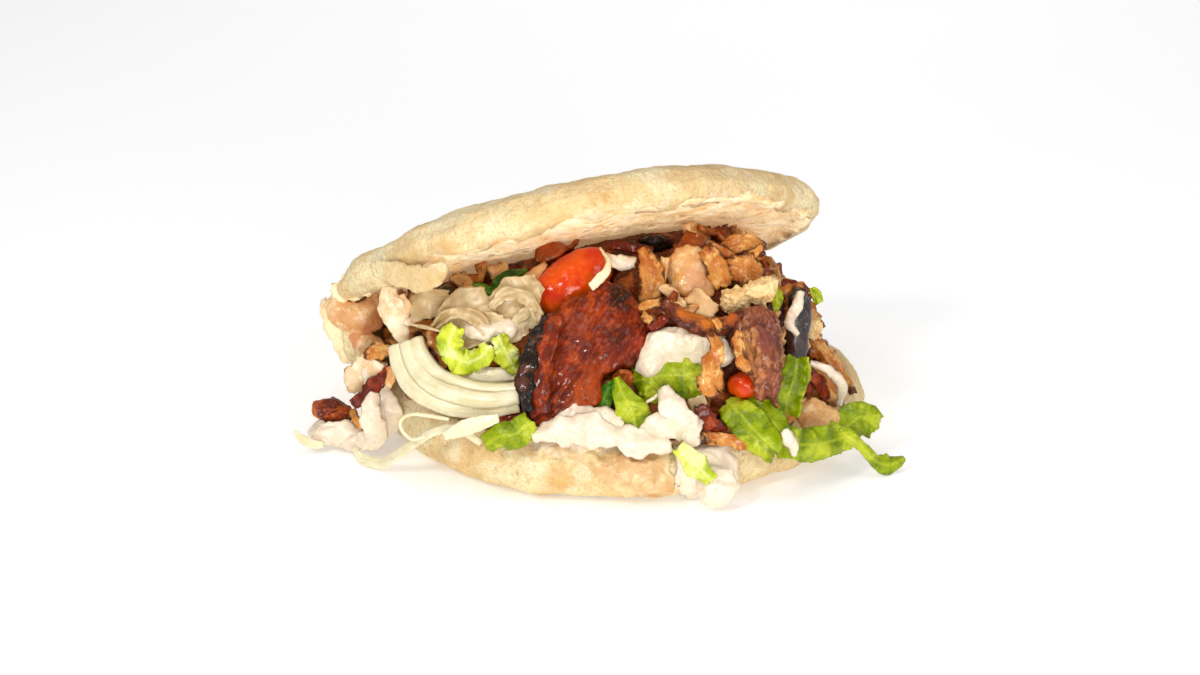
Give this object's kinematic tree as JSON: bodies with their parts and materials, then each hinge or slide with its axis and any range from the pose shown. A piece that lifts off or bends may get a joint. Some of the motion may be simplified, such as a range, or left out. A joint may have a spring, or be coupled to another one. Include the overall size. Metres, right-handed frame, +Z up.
{
  "type": "doner kebab sandwich",
  "caption": "Round flatbread pocket opened like a jaw and filled with shaved meat, lettuce, onion, tomato, cabbage and white garlic sauce that drips over its rim.",
  "frame": {"origin": "centre of the flat spot under the bread, on the surface that it rests on", "axes": "+X to the right along the sandwich's longest side, +Y from its open mouth to its hinge, +Z up"},
  "size_m": [0.2195, 0.1879, 0.1109],
  "materials": {
    "bread_crust": "baked flatbread crust, floury and matte, toasted patches",
    "shredded_meat": "shredded grilled meat, moist, browned in places",
    "browned_meat": "browned meat slice, glossy with fat, charred at the edge",
    "charred_meat": "charred edge, near black, slightly glossy",
    "tan_meat": "roasted meat shaving, tan with orange-brown crisp edges",
    "pale_meat": "pale cooked meat, moist",
    "tomato": "wet tomato slice, glossy",
    "aubergine": "dark grilled aubergine skin, oily",
    "garlic_sauce": "thick cream-white garlic sauce, satin, flecked with herbs",
    "cheese": "crumbly pale cheese, dry and matte",
    "lettuce": "fresh lettuce, bright green to yellow-green, veined, satin",
    "dark_leaf": "dark green leaf, satin",
    "onion": "raw white onion, translucent and moist",
    "cabbage": "pale white cabbage shreds, moist"
  },
  "bodies": {
    "root": {"bread": "bread_crust", "meat_heap": "shredded_meat", "meat_browned_slice": "browned_meat", "meat_red_strip": "browned_meat", "meat_crescent": "browned_meat", "meat_curled_slice": "browned_meat", "meat_under_onion": "browned_meat", "meat_red_bit_left": "browned_meat", "spill_glazed_bit": "browned_meat", "meat_charred_edge": "charred_meat", "meat_burnt_bit": "charred_meat", "meat_folded_strip": "tan_meat", "meat_crisp_edge": "tan_meat", "meat_tan_slice": "tan_meat", "meat_low_piece": "tan_meat", "meat_brown_tip": "tan_meat", "meat_strip_right": "tan_meat", "meat_sauced_slice": "tan_meat", "meat_tan_bit_left": "tan_meat", "spill_brown_strip": "tan_meat", "meat_pale_slice": "pale_meat", "meat_on_base": "pale_meat", "meat_pale_flap": "pale_meat", "meat_sauced_left": "pale_meat", "meat_in_pocket": "pale_meat", "spill_pale_slice": "pale_meat", "tomato_wedge": "tomato", "tomato_bit": "tomato", "aubergine_slice": "aubergine", "aubergine_strip": "aubergine", "olive_piece": "aubergine", "sauce_blob": "garlic_sauce", "sauced_chicken": "garlic_sauce", "sauce_on_cabbage": "garlic_sauce", "sauce_on_rim": "garlic_sauce", "sauce_drip": "garlic_sauce", "spill_sauced_bit": "garlic_sauce", "cheese_crumble": "cheese", "cheese_bit_right": "cheese", "lettuce_right": "lettuce", "lettuce_rib": "lettuce", "lettuce_upright": "lettuce", "lettuce_curly": "lettuce", "rocket_strip": "lettuce", "lettuce_under_sauce": "lettuce", "lettuce_fold": "lettuce", "lettuce_on_drip": "lettuce", "lettuce_left": "lettuce", "lettuce_curls": "lettuce", "leaf_dark_top": "dark_leaf", "onion_thick_layer": "onion", "onion_thin_layer": "onion", "onion_long_strand": "onion", "onion_looped_strand": "onion", "cabbage_shreds": "cabbage", "cabbage_patch": "cabbage", "cabbage_sheet_left": "cabbage", "cabbage_sheet_right": "cabbage", "cabbage_on_tomato": "cabbage", "cabbage_tail": "cabbage"}
  },
  "joints": []
}
